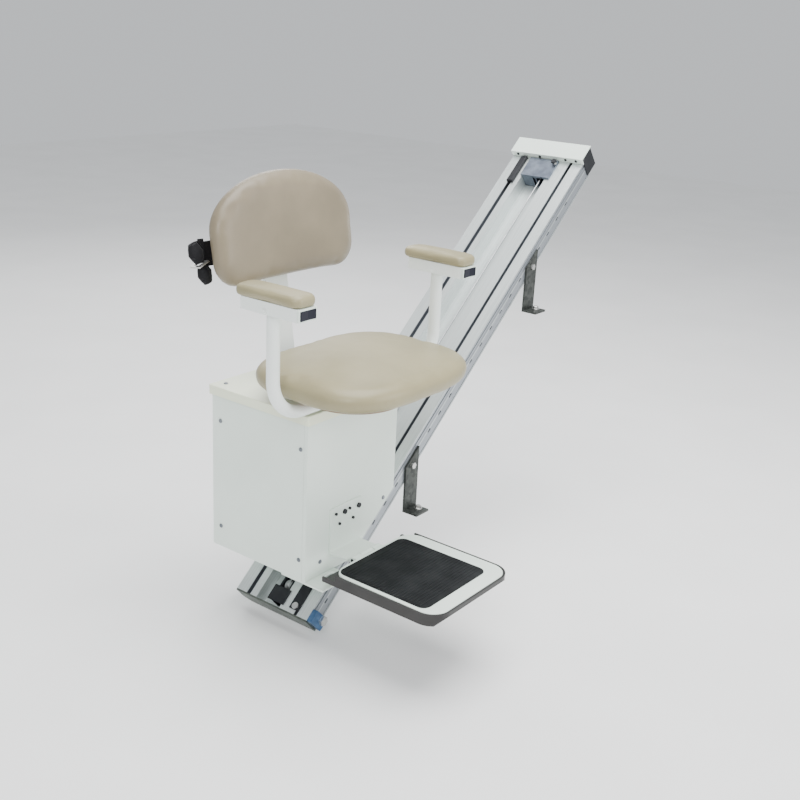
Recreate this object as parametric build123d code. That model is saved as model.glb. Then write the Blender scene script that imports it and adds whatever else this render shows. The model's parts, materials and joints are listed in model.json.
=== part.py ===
"""Stairlift: a padded swivel chair on a drive box that rides up an inclined aluminium rail.

Origin: midway between the two lower lag holes, on the tread. +X runs uphill, +Y to the wall, +Z up.
"""

import os
from math import atan2, cos, degrees, radians, sin, tan

from build123d import *

# ---- staircase that the rail is cut for ----
STAIR_RISE = 193.0
STAIR_GOING = 223.3
SLOPE = degrees(atan2(STAIR_RISE, STAIR_GOING))

# ---- rail: s runs up the slope, h is the height above the rail's top face ----
RAIL_LENGTH = 1330.0
RAIL_WIDTH = 203.2
RAIL_DEPTH = 48.0
RAIL_START_X = -349.2
RAIL_TOP_AT_ORIGIN = 161.2
RAIL_HALF = RAIL_WIDTH / 2
CHANNEL_Y = (-24.0, 44.0)
CHANNEL_DEPTH = 35.0
SLOTS = ((-69.25, 8.5), (67.25, 10.5))
SLOT_CHAMBER_WIDTH = 22.0
SLOT_LIP = 4.0
SLOT_FLOOR = 28.0
NOTCH_PITCH = 50.0
CAP_START = 1323.0
CAP_END = 1366.0
COVER_TOP = 16.5

# ---- cable and pulleys in the channel ----
CABLE_Y = -9.0
CABLE_R = 2.0
PULLEY_H = -17.0
PULLEY_GROOVE_R = 8.5
PULLEY_FLANGE_R = 11.5
PULLEY_HALF_WIDTH = 8.75
LOWER_PULLEY_S = 56.0
UPPER_PULLEY_S = 1290.0
CABLE_BEND_R = PULLEY_GROOVE_R + CABLE_R + 0.2
PULLEY_PIN_R = 3.0

# ---- tread brackets ----
BRACKET_WIDTH = 45.0
BRACKET_THICKNESS = 5.0
BRACKET_X = -10.0
BRACKET_FOOT_DEPTH = 40.0
LAG_HOLE_Y = 122.0
LAG_HOLE_R = 4.5
BRACKET_TOP_H = -18.0
BRACKET_BOLT_H = -33.0
BRACKET_STEPS = (0, 2)

# ---- drive box ----
BOX_X = (-361.3, -76.0)
BOX_Y = (-106.0, 161.9)
FLANGE_Y = BOX_Y[0] + 9.0
BOX_BOTTOM = -46.4
LID_TOP = 318.7
LID_LIP = 20.0
LID_OVERHANG = 6.0
PANEL = 2.0
SKIRT_H = -14.0
WALL_TOP = LID_TOP - PANEL - 0.2

# ---- carriage chassis ----
WHEEL_S = (185.0, 330.0)
WHEEL_R = 22.0
WHEEL_H = WHEEL_R + 0.3
WHEEL_Y = 88.0
WHEEL_WIDTH = 20.0
AXLE_R = 8.0
RETAINER_R = 11.7
RETAINER_H = -SLOT_LIP - 0.3 - RETAINER_R
RETAINER_PIN_R = 4.0
CHEEK = 5.0
CHEEK_FOOT_H = -24.0
SHELF_Z = 186.0
SHELF = 4.0
SHEAVE_S = 250.0
SHEAVE_GROOVE_R = 38.0
SHEAVE_FLANGE_R = 41.0
SHEAVE_H = PULLEY_H + CABLE_BEND_R + CABLE_R + 0.3 + SHEAVE_GROOVE_R
SHEAVE_SHAFT_R = 10.0
FIT = 0.05

# ---- chair ----
CHAIR_X = -218.7
SWIVEL_Y = -50.0
COLUMN_R = 30.0
SPINDLE_R = 20.0
DETENT_R = 65.0
BASE_Z = (353.0, 358.0)
TUBE_R = 12.7
TUBE_WALL = 2.5
POST_OFFSET = 250.0
POST_Y = -113.0
CROSS_Z = 340.0
POST_TOP = 562.0
POST_BEND_R = 78.0
SEAT_WIDTH = 424.0
SEAT_DEPTH = 344.0
SEAT_Y = -124.0
SEAT_CORNER_R = 128.0
SEAT_Z = (363.5, 412.0)
BOARD = 5.0
SEAT_BOARD_INSET = 30.0
SEAT_PIVOT = (56.0, 366.0)
SEAT_PIN_R = 4.0
LEVER_PIVOT = 43.0
LEVER_END = 185.0
LEVER_Z = 336.0

# ---- back, drawn upright and then leaned about its foot ----
BACK_LEAN = 9.0
BACK_FOOT = (32.3, 355.0)
BACK_WIDTH = 407.0
BACK_Z = (187.0, 413.0)
BACK_MID = 300.0
BACK_CORNER_R = 58.0
BACK_PAD = 42.0
BACK_BOARD = 8.0
BACK_BOARD_INSET = 28.0
BACK_SPACER = 8.0
UPRIGHT_WIDTH = 65.0
UPRIGHT = 8.0
UPRIGHT_TOP = 380.0
WEBBING = 50.0
BELT_Z = (235.0, 235.0 + WEBBING)
BUNDLE = (-202.0, 58.0, 243.0)
BUNDLE_LEAN = 20.0
BUNDLE_HALF = 15.0
BUCKLE_X = (132.0, 190.0)

# ---- arms ----
ARM_Y = (-191.0, -53.0)
ARM_Z = (547.0, 571.0)
ARM_WIDTH = 48.0
ARM_WALL = 2.5
ARM_PIVOT_Z = 552.0
ARM_PIN_R = 3.0
PAD_Y = (-196.0, -37.0)
PAD_WIDTH = 60.0
PAD_HEIGHT = 22.0

# ---- footrest ----
FOOT_X = (-363.0, -107.0)
FOOT_Y = (-437.0, -177.0)
FOOT_TOP = 4.0
FOOT_THICK = 5.0
FOOT_CORNER_R = 38.0
MAT_X = (-354.0, -142.0)
MAT_Y = (-404.0, -185.0)
MAT = 2.5
MAT_CORNER_R = 18.0
FOOT_RIM = 5.0
FOOT_FACE = 3.0
KNUCKLES_X = ((-284.0, -260.0), (-220.0, -196.0))
PAN_Z = (-20.5, 3.2)
PAN_RIM = 5.0
PAN_WALL = 3.8
PAN_SLOPE = 14.0
PAN_TAIL_Y = -158.0
PAN_TAIL_Z = -10.0
FOOT_PIVOT = (-166.0, -4.0)
FOOT_KNUCKLE_R = 8.0
FOOT_PIN_R = 4.0
LEG_X = (-289.0, -193.0)
LEG_Z = (-7.0, 95.0)
LEG = 4.0
LEG_REACH = -157.0


# ---- helpers ----
def block(x, y, z):
    """A box between the given pairs of limits."""
    centre = Pos((x[0] + x[1]) / 2, (y[0] + y[1]) / 2, (z[0] + z[1]) / 2)
    return centre * Box(abs(x[1] - x[0]), abs(y[1] - y[0]), abs(z[1] - z[0]))


def rod_x(x, y, z, r):
    """A round bar along X between the pair x, centred on y and z."""
    return Pos((x[0] + x[1]) / 2, y, z) * Rot(0, 90, 0) * Cylinder(r, x[1] - x[0])


def rod_y(x, y, z, r):
    """A round bar along Y between the pair y, centred on x and z."""
    return Pos(x, (y[0] + y[1]) / 2, z) * Rot(90, 0, 0) * Cylinder(r, y[1] - y[0])


def rod_z(x, y, z, r):
    """A round bar along Z between the pair z, centred on x and y."""
    return Pos(x, y, (z[0] + z[1]) / 2) * Cylinder(r, z[1] - z[0])


def plate_xz(points, y):
    """A flat plate whose outline lies in X and Z, between the pair y."""
    face = make_face(Polyline(*[(px, 0, pz) for px, pz in points], close=True))
    solid = extrude(face, amount=y[1] - y[0], dir=(0, 1, 0))
    return Pos(0, y[0], 0) * solid


def hex_head_y(x, y, z, across):
    """A hexagonal bolt head along Y between the pair y."""
    hexagon = extrude(RegularPolygon(across / 2, 6, major_radius=False), y[1] - y[0])
    return Pos(x, y[1], z) * Rot(90, 0, 0) * hexagon


def rounded_slab(x, y, z, r):
    """A flat slab with rounded corners seen from above."""
    outline = RectangleRounded(x[1] - x[0], y[1] - y[0], r)
    return Pos((x[0] + x[1]) / 2, (y[0] + y[1]) / 2, z[0]) * extrude(outline, z[1] - z[0])


def joined(solids):
    """Separate solids kept apart in one group."""
    return Compound(children=[piece for solid in solids for piece in solid.solids()])


# ---- the rail's own frame ----
RAIL_START_Z = RAIL_TOP_AT_ORIGIN + RAIL_START_X * tan(radians(SLOPE))
RAIL = Location((RAIL_START_X, 0, RAIL_START_Z), (0, -SLOPE, 0))


def rail_point(s, h):
    """X and Z of the point at s up the rail and h above its top face."""
    x = RAIL_START_X + s * cos(radians(SLOPE)) - h * sin(radians(SLOPE))
    z = RAIL_START_Z + s * sin(radians(SLOPE)) + h * cos(radians(SLOPE))
    return x, z


def rail_height(x, h):
    """Z of the line at height h above the rail's top face, at the given X."""
    return RAIL_TOP_AT_ORIGIN + x * tan(radians(SLOPE)) + h / cos(radians(SLOPE))


parts = {}

# ---- rail ----
BRACKET_BOLTS = []
for steps in BRACKET_STEPS:
    bolt_x = BRACKET_X + steps * STAIR_GOING
    BRACKET_BOLTS.append((bolt_x, rail_height(bolt_x, BRACKET_BOLT_H)))


def make_rail():
    """The extrusion: centre channel, two T-slots in its top, hollow cells, grooved sides."""
    length = (-1, RAIL_LENGTH + 1)
    rail = block((0, RAIL_LENGTH), (-RAIL_HALF, RAIL_HALF), (-RAIL_DEPTH, 0))
    rail -= block(length, CHANNEL_Y, (-CHANNEL_DEPTH, 1))
    for centre, opening in SLOTS:
        half = SLOT_CHAMBER_WIDTH / 2
        rail -= block(length, (centre - opening / 2, centre + opening / 2), (-SLOT_LIP - 1, 1))
        rail -= block(length, (centre - half, centre + half), (-SLOT_FLOOR, -SLOT_LIP))
        rail -= block(length, (centre - half, centre + half), (4 - RAIL_DEPTH, -SLOT_FLOOR - 4))
    rail -= block(length, (-54, -28), (4 - RAIL_DEPTH, -4))
    rail -= block(length, (-20, 40), (3 - RAIL_DEPTH, -CHANNEL_DEPTH - 3))
    groove_depth = 2.5
    for side in (-1, 1):
        faces = sorted((side * (RAIL_HALF - groove_depth), side * (RAIL_HALF + 1)))
        rail -= block(length, faces, (-11, -6))
        rail -= block(length, faces, (-44, -41))
    count = int((RAIL_LENGTH - 120) / NOTCH_PITCH)
    for index in range(count):
        notch = Pos(60 + index * NOTCH_PITCH, -RAIL_HALF + 1, -25.5) * Rot(90, 0, 0)
        rail -= notch * extrude(SlotOverall(13, 5), 4, both=True)
    rail = RAIL * rail
    for x, z in BRACKET_BOLTS:
        rail -= rod_y(x, (-RAIL_HALF - 1, -86), z, 4.1)
        rail -= rod_y(x, (86, RAIL_HALF + 1), z, 4.1)
    return rail


parts["rail_extrusion"] = make_rail()

end_plate = block((-4, -0.1), (-RAIL_HALF, RAIL_HALF), (-RAIL_DEPTH, 0))
end_plate = chamfer(end_plate.edges().filter_by(Axis.X).sort_by(Axis.Y)[-2:].sort_by(Axis.Z)[0], 16)
parts["lower_end_plate"] = RAIL * end_plate

END_BLOCK_BOLT = (20.0, -33.0)
end_block = block((0, 29), (-RAIL_HALF - 12, -RAIL_HALF - 0.1), (-RAIL_DEPTH + 0.5, -2))
end_block = fillet(end_block.edges().filter_by(Axis.Y), 3)
end_block -= rod_y(END_BLOCK_BOLT[0], (-130, -90), END_BLOCK_BOLT[1], 5.1)
parts["lower_end_block"] = RAIL * end_block

strip = block((9, 130), (-73, -47.5), (0.1, 3.1))
strip -= rod_z(17, -61, (-1, 5), 4.1)
parts["slot_cover_strip"] = RAIL * strip


def make_lower_bracket():
    """A channel-shaped bracket that holds the lower pulley, with a cover at its end."""
    bracket = block((8, 72), (-23.5, 8), (-34.9, -31.9))
    bracket += block((8, 72), (-23.5, -19.5), (-34.9, 0.1))
    bracket += block((8, 72), (1.5, 5.5), (-34.9, 0.1))
    bracket += block((8, 43), (-30, 15), (0.1, 3.1))
    return bracket - rod_y(LOWER_PULLEY_S, (-30, 12), PULLEY_H, PULLEY_PIN_R)


parts["lower_pulley_bracket"] = RAIL * make_lower_bracket()


def make_pulley(s):
    """A grooved pulley across the channel."""
    pulley = rod_y(s, (CABLE_Y - PULLEY_HALF_WIDTH, CABLE_Y + PULLEY_HALF_WIDTH), PULLEY_H, PULLEY_FLANGE_R)
    ring = rod_y(s, (CABLE_Y - 2.5, CABLE_Y + 2.5), PULLEY_H, PULLEY_FLANGE_R + 1)
    ring -= rod_y(s, (CABLE_Y - 3, CABLE_Y + 3), PULLEY_H, PULLEY_GROOVE_R)
    pulley -= ring
    return RAIL * (pulley - rod_y(s, (-30, 12), PULLEY_H, PULLEY_PIN_R + FIT))


parts["lower_pulley"] = make_pulley(LOWER_PULLEY_S)
parts["upper_pulley"] = make_pulley(UPPER_PULLEY_S)


def make_cable():
    """One endless wire rope round both pulleys."""
    path = Pos((LOWER_PULLEY_S + UPPER_PULLEY_S) / 2, CABLE_Y, PULLEY_H) * Rot(90, 0, 0)
    span = UPPER_PULLEY_S - LOWER_PULLEY_S
    top = Line((-span / 2, CABLE_BEND_R), (span / 2, CABLE_BEND_R))
    right = ThreePointArc((span / 2, CABLE_BEND_R), (span / 2 + CABLE_BEND_R, 0), (span / 2, -CABLE_BEND_R))
    bottom = Line((span / 2, -CABLE_BEND_R), (-span / 2, -CABLE_BEND_R))
    outer = -span / 2 - CABLE_BEND_R
    left = ThreePointArc((-span / 2, -CABLE_BEND_R), (outer, 0), (-span / 2, CABLE_BEND_R))
    solids = []
    for edge in (top, right, bottom, left):
        section = Plane(origin=edge @ 0, z_dir=edge % 0) * Circle(CABLE_R)
        solids.append(sweep(section, path=edge))
    loop = solids[0] + solids[1] + solids[2] + solids[3]
    return RAIL * path * loop


parts["drive_cable"] = make_cable()


def make_upper_block():
    """The galvanised block that holds the upper pulley and takes the cable's tension."""
    piece = block((1257, 1317), (-36, 45.8), (0.1, 6))
    piece += block((1257, 1317), (-23.5, -19.5), (-34, 0.1))
    piece += block((1257, 1317), (1.5, 5.5), (-34, 0.1))
    piece += block((1257, 1317), (12, 43.5), (-34, 0.1))
    piece -= rod_y(UPPER_PULLEY_S, (-30, 9), PULLEY_H, PULLEY_PIN_R)
    return RAIL * (piece - rod_z(1306, -30, (-1, 8), 3.1))


parts["upper_pulley_block"] = make_upper_block()
parts["limit_switch_bar"] = RAIL * fillet(
    block((1230, 1317), (56, 73), (0.1, 9)).edges().group_by(Axis.Z)[-1], 2)

end_cap = block((CAP_START, CAP_END), (-RAIL_HALF - 3, RAIL_HALF + 3), (-40, COVER_TOP - 2.3))
end_cap -= block((CAP_START - 1, RAIL_LENGTH + 0.1), (-RAIL_HALF - 0.1, RAIL_HALF + 0.1), (-60, 0.1))
parts["upper_end_cap"] = RAIL * end_cap

cover = block((CAP_START - 2.5, CAP_END + 4), (-RAIL_HALF - 3, RAIL_HALF + 3), (COVER_TOP - 2.2, COVER_TOP))
cover += block((CAP_START - 2.5, CAP_START - 0.5), (-RAIL_HALF - 3, RAIL_HALF + 3), (0.6, COVER_TOP))
parts["upper_cover"] = RAIL * cover


def make_bracket(steps, side):
    """A galvanised strap bolted to the rail's side, its foot turned outward on a tread."""
    x = BRACKET_X + steps * STAIR_GOING
    z = steps * STAIR_RISE
    left = x - BRACKET_WIDTH / 2
    right = x + BRACKET_WIDTH / 2
    inner = RAIL_HALF + 0.1
    outline = [(left, z), (right, z), (right, rail_height(right, BRACKET_TOP_H))]
    outline.append((left, rail_height(left, BRACKET_TOP_H)))
    strap = plate_xz(outline, (inner, inner + BRACKET_THICKNESS))
    strap -= rod_y(x, (90, 120), rail_height(x, BRACKET_BOLT_H), 4.1)
    foot = block((left, right), (inner, inner + BRACKET_FOOT_DEPTH), (z, z + BRACKET_THICKNESS))
    foot -= rod_z(steps * STAIR_GOING, LAG_HOLE_Y, (z - 1, z + BRACKET_THICKNESS + 1), LAG_HOLE_R)
    bracket = strap + foot
    return bracket if side > 0 else mirror(bracket, about=Plane.XZ)


parts["tread_brackets"] = joined(
    [make_bracket(steps, side) for steps in BRACKET_STEPS for side in (-1, 1)])


def make_rail_bolts():
    """Bracket bolts, the end block's bolt, the strip's screw, pulley pins and the tension bolt."""
    bolts = []
    head = RAIL_HALF + 0.1 + BRACKET_THICKNESS
    for x, z in BRACKET_BOLTS:
        bolt = rod_y(x, (88, head + 0.5), z, 4) + hex_head_y(x, (head, head + 5.5), z, 13)
        bolts += [bolt, mirror(bolt, about=Plane.XZ)]
    s, h = END_BLOCK_BOLT
    end_bolt = rod_y(s, (-RAIL_HALF - 12.5, -RAIL_HALF - 1), h, 5)
    end_bolt += hex_head_y(s, (-RAIL_HALF - 19, -RAIL_HALF - 12), h, 19)
    bolts.append(RAIL * end_bolt)
    bolts.append(RAIL * (rod_z(17, -61, (0.1, 3.6), 4) + rod_z(17, -61, (3.1, 6.5), 7.5)))
    bolts.append(RAIL * rod_y(LOWER_PULLEY_S, (-23.4, 5.4), PULLEY_H, PULLEY_PIN_R))
    bolts.append(RAIL * rod_y(UPPER_PULLEY_S, (-23.4, 5.4), PULLEY_H, PULLEY_PIN_R))
    bolts.append(RAIL * (rod_z(1306, -30, (0.1, 6.5), 3) + rod_z(1306, -30, (6, 13), 5.5)))
    return joined(bolts)


parts["rail_bolts"] = make_rail_bolts()


# ---- carriage chassis ----
def make_cheeks():
    """Two plates that reach down through the rail's slots and carry every axle."""
    low_s = 160
    high_s = 345
    outline = [rail_point(low_s, CHEEK_FOOT_H), rail_point(high_s, CHEEK_FOOT_H), rail_point(high_s, 40)]
    outline += [(outline[2][0], SHELF_Z), (-330, SHELF_Z), (-330, 0)]
    cheeks = []
    for centre, _ in SLOTS:
        cheek = plate_xz(outline, (centre - CHEEK / 2, centre + CHEEK / 2))
        for s in WHEEL_S:
            x, z = rail_point(s, WHEEL_H)
            cheek -= rod_y(x, (centre - CHEEK, centre + CHEEK), z, AXLE_R)
            x, z = rail_point(s, RETAINER_H)
            cheek -= rod_y(x, (centre - CHEEK, centre + CHEEK), z, RETAINER_PIN_R)
        x, z = rail_point(SHEAVE_S, SHEAVE_H)
        cheek -= rod_y(x, (centre - CHEEK, centre + CHEEK), z, SHEAVE_SHAFT_R + FIT)
        cheeks.append(cheek)
    return joined(cheeks)


parts["chassis_cheeks"] = make_cheeks()
parts["chassis_shelf"] = block((-345, -95), (-95, 150), (SHELF_Z, SHELF_Z + SHELF))

axles = []
for wheel_s in WHEEL_S:
    axles.append(RAIL * rod_y(wheel_s, (-WHEEL_Y - 12, WHEEL_Y + 12), WHEEL_H, AXLE_R))
    for slot_y, _ in SLOTS:
        axles.append(RAIL * rod_y(wheel_s, (slot_y - 10, slot_y + 10), RETAINER_H, RETAINER_PIN_R))
parts["roller_axles"] = joined(axles)


def make_wheels(s):
    """The pair of load wheels on one axle."""
    wheels = []
    for side in (-1, 1):
        span = (side * WHEEL_Y - WHEEL_WIDTH / 2, side * WHEEL_Y + WHEEL_WIDTH / 2)
        wheel = rod_y(s, span, WHEEL_H, WHEEL_R)
        wheels.append(RAIL * (wheel - rod_y(s, (span[0] - 1, span[1] + 1), WHEEL_H, AXLE_R + FIT)))
    return joined(wheels)


def make_retainers(s):
    """The small rollers either side of both cheeks, under the slots' lips."""
    rollers = []
    for centre, _ in SLOTS:
        for side in (-1, 1):
            span = sorted((centre + side * 3, centre + side * 9.5))
            roller = rod_y(s, span, RETAINER_H, RETAINER_R)
            bore = rod_y(s, (span[0] - 1, span[1] + 1), RETAINER_H, RETAINER_PIN_R + FIT)
            rollers.append(RAIL * (roller - bore))
    return joined(rollers)


parts["low_wheels"] = make_wheels(WHEEL_S[0])
parts["high_wheels"] = make_wheels(WHEEL_S[1])
parts["low_retainer_rollers"] = make_retainers(WHEEL_S[0])
parts["high_retainer_rollers"] = make_retainers(WHEEL_S[1])


def make_sheave():
    """The grooved drive sheave that grips the cable, on its shaft."""
    sheave = rod_y(SHEAVE_S, (CABLE_Y - 7, CABLE_Y + 7), SHEAVE_H, SHEAVE_FLANGE_R)
    ring = rod_y(SHEAVE_S, (CABLE_Y - 2.5, CABLE_Y + 2.5), SHEAVE_H, SHEAVE_FLANGE_R + 1)
    ring -= rod_y(SHEAVE_S, (CABLE_Y - 3, CABLE_Y + 3), SHEAVE_H, SHEAVE_GROOVE_R)
    sheave -= ring
    return RAIL * (sheave + rod_y(SHEAVE_S, (-76, 74), SHEAVE_H, SHEAVE_SHAFT_R))


parts["drive_sheave"] = make_sheave()

gearbox = fillet(block((205, 295), (8, 60), (4, 84)).edges().filter_by(Axis.Y), 8)
parts["gearbox"] = RAIL * (gearbox - rod_y(SHEAVE_S, (0, 70), SHEAVE_H, SHEAVE_SHAFT_R + FIT))

motor = rod_z(SHEAVE_S, 30, (84, 162), 34) + rod_z(SHEAVE_S, 30, (162, 172), 20)
parts["motor"] = RAIL * motor

BATTERY = (98, 151, 95)
batteries = []
for battery_x in (CHAIR_X - 84.5, CHAIR_X + 84.5):
    battery = Pos(battery_x, -10, SHELF_Z + SHELF + BATTERY[2] / 2) * Box(*BATTERY)
    battery = fillet(battery.edges().filter_by(Axis.Z), 3)
    for terminal_y in (-60, 40):
        battery += rod_z(battery_x + 30, terminal_y, (284, 292), 5)
    batteries.append(battery)
parts["batteries"] = joined(batteries)

board = block((-300, -140), (140, 141.6), (200, 288))
board += block((-290, -250), (124, 140), (210, 240))
board += block((-235, -205), (128, 140), (215, 245))
board += rod_y(-170, (122, 140), 230, 11)
board += block((-290, -160), (130, 140), (262, 274))
parts["control_board"] = board + block((-296, -290), (130, 141.6), (SHELF_Z + SHELF, 205))


# ---- drive box ----
def box_outline():
    """Side view of the box: flat bottom, then cut along the rail, then upright."""
    cut_x = (BOX_BOTTOM - rail_height(0, SKIRT_H)) / tan(radians(SLOPE))
    outline = [(BOX_X[0], BOX_BOTTOM), (cut_x, BOX_BOTTOM), (BOX_X[1], rail_height(BOX_X[1], SKIRT_H))]
    return outline + [(BOX_X[1], WALL_TOP), (BOX_X[0], WALL_TOP)]


DOWNHILL_SCREWS = ((-88, 243), (138, 243), (-88, 0), (138, 2))
FRONT_SCREWS = ((-112, 63.5), (-316, -15), (-205, -12.5))
BACK_SCREWS = ((-340, -25), (-340, 280), (-98, 280), (-98, 110))
LARGE_LEG_BOLTS = ((-246.5, 77.5, 5.5), (-201, 77, 5.5))
SMALL_LEG_BOLTS = ((-274.5, 80.5, 3), (-231, 80, 3), (-219, 54.5, 3), (-262.5, 55, 3))
LEG_BOLTS = LARGE_LEG_BOLTS + SMALL_LEG_BOLTS
SCREW_R = 2.0

front_panel = plate_xz(box_outline(), (BOX_Y[0], BOX_Y[0] + PANEL))
for screw_x, screw_z in FRONT_SCREWS:
    front_panel -= rod_y(screw_x, (BOX_Y[0] - 1, BOX_Y[0] + 9), screw_z, SCREW_R)
for bolt_x, bolt_z, bolt_r in LEG_BOLTS:
    front_panel -= rod_y(bolt_x, (BOX_Y[0] - 1, BOX_Y[0] + 9), bolt_z, bolt_r * 0.6)
front_panel += block((BOX_X[0], BOX_X[0] + PANEL), (BOX_Y[0], FLANGE_Y), (BOX_BOTTOM, WALL_TOP))
parts["front_panel"] = front_panel

INNER_Y = (BOX_Y[0] + PANEL, BOX_Y[1] - PANEL)
downhill_panel = block((BOX_X[0], BOX_X[0] + PANEL), (FLANGE_Y + 0.6, INNER_Y[1]), (BOX_BOTTOM, WALL_TOP))
for screw_y, screw_z in DOWNHILL_SCREWS:
    downhill_panel -= rod_x((BOX_X[0] - 1, BOX_X[0] + 9), screw_y, screw_z, SCREW_R)
parts["downhill_panel"] = downhill_panel

rear_cover = plate_xz(box_outline(), (INNER_Y[1], BOX_Y[1]))
uphill_foot = rail_height(BOX_X[1], 0) + 3
rear_cover += block((BOX_X[1] - PANEL, BOX_X[1]), INNER_Y, (uphill_foot, WALL_TOP))
rear_cover += block((BOX_X[1] - PANEL, BOX_X[1]), (104, INNER_Y[1]), (84, WALL_TOP))
for screw_x, screw_z in BACK_SCREWS:
    rear_cover -= rod_y(screw_x, (BOX_Y[1] - 9, BOX_Y[1] + 1), screw_z, SCREW_R)
parts["rear_cover"] = rear_cover

bottom = block((BOX_X[0] + PANEL, -243), INNER_Y, (BOX_BOTTOM, BOX_BOTTOM + PANEL))
bottom += block((-243, -216), (104, INNER_Y[1]), (BOX_BOTTOM, BOX_BOTTOM + PANEL))
bottom += RAIL * block((161, 344), (104, INNER_Y[1]), (SKIRT_H, SKIRT_H + PANEL))
parts["bottom_panel"] = bottom


def make_lid():
    """The folded lid, its lips hanging outside the walls, with a hole for the column."""
    x = (BOX_X[0] - LID_OVERHANG, BOX_X[1] + LID_OVERHANG)
    y = (BOX_Y[0] - LID_OVERHANG, BOX_Y[1] + LID_OVERHANG)
    lid = block(x, y, (LID_TOP - LID_LIP, LID_TOP))
    lid = fillet(lid.edges().filter_by(Axis.Z), 5)
    lid = fillet(lid.edges().group_by(Axis.Z)[-1], 2)
    lid -= block((x[0] + PANEL, x[1] - PANEL), (y[0] + PANEL, y[1] - PANEL), (0, LID_TOP - PANEL))
    lid -= rod_z(CHAIR_X, SWIVEL_Y, (LID_TOP - 5, LID_TOP + 5), COLUMN_R + 1.5)
    return lid - rod_z(-340, 144, (LID_TOP - 5, LID_TOP + 5), SCREW_R)


parts["lid"] = make_lid()

screws = []
for screw_x, screw_z in FRONT_SCREWS:
    screw = rod_y(screw_x, (BOX_Y[0] - 2.2, BOX_Y[0]), screw_z, 4.5)
    screws.append(screw + rod_y(screw_x, (BOX_Y[0] - 1, BOX_Y[0] + 2.4), screw_z, SCREW_R))
for screw_y, screw_z in DOWNHILL_SCREWS:
    screw = rod_x((BOX_X[0] - 2.2, BOX_X[0]), screw_y, screw_z, 4.5)
    screws.append(screw + rod_x((BOX_X[0] - 1, BOX_X[0] + 8), screw_y, screw_z, SCREW_R))
for screw_x, screw_z in BACK_SCREWS:
    screw = rod_y(screw_x, (BOX_Y[1], BOX_Y[1] + 2.2), screw_z, 4.5)
    screws.append(screw + rod_y(screw_x, (BOX_Y[1] - 8, BOX_Y[1] + 1), screw_z, SCREW_R))
lid_screw = rod_z(-340, 144, (LID_TOP, LID_TOP + 2.2), 4.5)
screws.append(lid_screw + rod_z(-340, 144, (LID_TOP - 6, LID_TOP + 1), SCREW_R))
parts["panel_screws"] = joined(screws)

column = rod_z(CHAIR_X, SWIVEL_Y, (SHELF_Z + SHELF, 326), COLUMN_R)
column -= rod_z(CHAIR_X, SWIVEL_Y, (SHELF_Z, 316), COLUMN_R - 4)
column += rod_z(CHAIR_X, SWIVEL_Y, (321, 326), DETENT_R)
column += rod_z(CHAIR_X, SWIVEL_Y, (325, 350), SPINDLE_R)
for turn in (-90, 0, 90):
    spot = Pos(CHAIR_X, SWIVEL_Y, 0) * Rot(0, 0, turn)
    column -= spot * block((DETENT_R - 10, DETENT_R + 5), (-5, 5), (315, 330))
parts["seat_column"] = column

# ---- footrest bracket ----
leg = block(LEG_X, (BOX_Y[0] - LEG, BOX_Y[0]), LEG_Z)
leg += block(LEG_X, (LEG_REACH, BOX_Y[0]), (LEG_Z[0], LEG_Z[0] + LEG))
leg = fillet(leg.edges().filter_by(Axis.X).sort_by_distance((0, BOX_Y[0] - LEG, LEG_Z[0] + LEG))[0], 3)
leg += rod_x((-258, -222), *FOOT_PIVOT, FOOT_KNUCKLE_R)
leg += block((-258, -222), (FOOT_PIVOT[0], LEG_REACH), (LEG_Z[0], LEG_Z[0] + LEG))
leg -= rod_x((-262, -218), *FOOT_PIVOT, FOOT_PIN_R)
for bolt_x, bolt_z, bolt_r in LEG_BOLTS:
    leg -= rod_y(bolt_x, (-120, -100), bolt_z, bolt_r * 0.6)
parts["footrest_bracket"] = leg

leg_bolts = [rod_x((-284, -196), *FOOT_PIVOT, FOOT_PIN_R)]
for bolt_x, bolt_z, bolt_r in LEG_BOLTS:
    bolt = rod_y(bolt_x, (BOX_Y[0] - LEG - 3.5, BOX_Y[0] - LEG), bolt_z, bolt_r)
    leg_bolts.append(bolt + rod_y(bolt_x, (BOX_Y[0] - LEG - 1, BOX_Y[0] + 6), bolt_z, bolt_r * 0.6))
parts["footrest_bolts"] = joined(leg_bolts)

support = block((BOX_X[0], -271), (-155, -40), (BOX_BOTTOM - LEG, BOX_BOTTOM))
support -= rounded_slab((-312, -284), (-124, -114), (BOX_BOTTOM - 6, BOX_BOTTOM + 2), 4.9)
parts["lower_support_plate"] = support

# ---- footrest ----
footplate = rounded_slab(FOOT_X, FOOT_Y, (FOOT_TOP - FOOT_THICK, FOOT_TOP), FOOT_CORNER_R)
footplate = fillet(footplate.edges().group_by(Axis.Z)[-1], 2)
pocket_x = (FOOT_X[0] + FOOT_RIM, FOOT_X[1] - FOOT_RIM)
pocket_y = (FOOT_Y[0] + FOOT_RIM, FOOT_Y[1] - FOOT_RIM)
pocket_z = (FOOT_TOP - FOOT_THICK - 1, FOOT_TOP - FOOT_FACE)
pocket = rounded_slab(pocket_x, pocket_y, pocket_z, FOOT_CORNER_R - FOOT_RIM)
footplate -= pocket
for knuckle_x in KNUCKLES_X:
    footplate += rod_x(knuckle_x, *FOOT_PIVOT, FOOT_KNUCKLE_R)
    footplate += block(knuckle_x, (FOOT_Y[1] - 4, FOOT_PIVOT[0]), (FOOT_TOP - FOOT_THICK, FOOT_TOP - 1))
    footplate -= rod_x((knuckle_x[0] - 1, knuckle_x[1] + 1), *FOOT_PIVOT, FOOT_PIN_R + FIT)
parts["footplate"] = footplate
parts["foot_mat"] = rounded_slab(MAT_X, MAT_Y, (FOOT_TOP, FOOT_TOP + MAT), MAT_CORNER_R)


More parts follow.
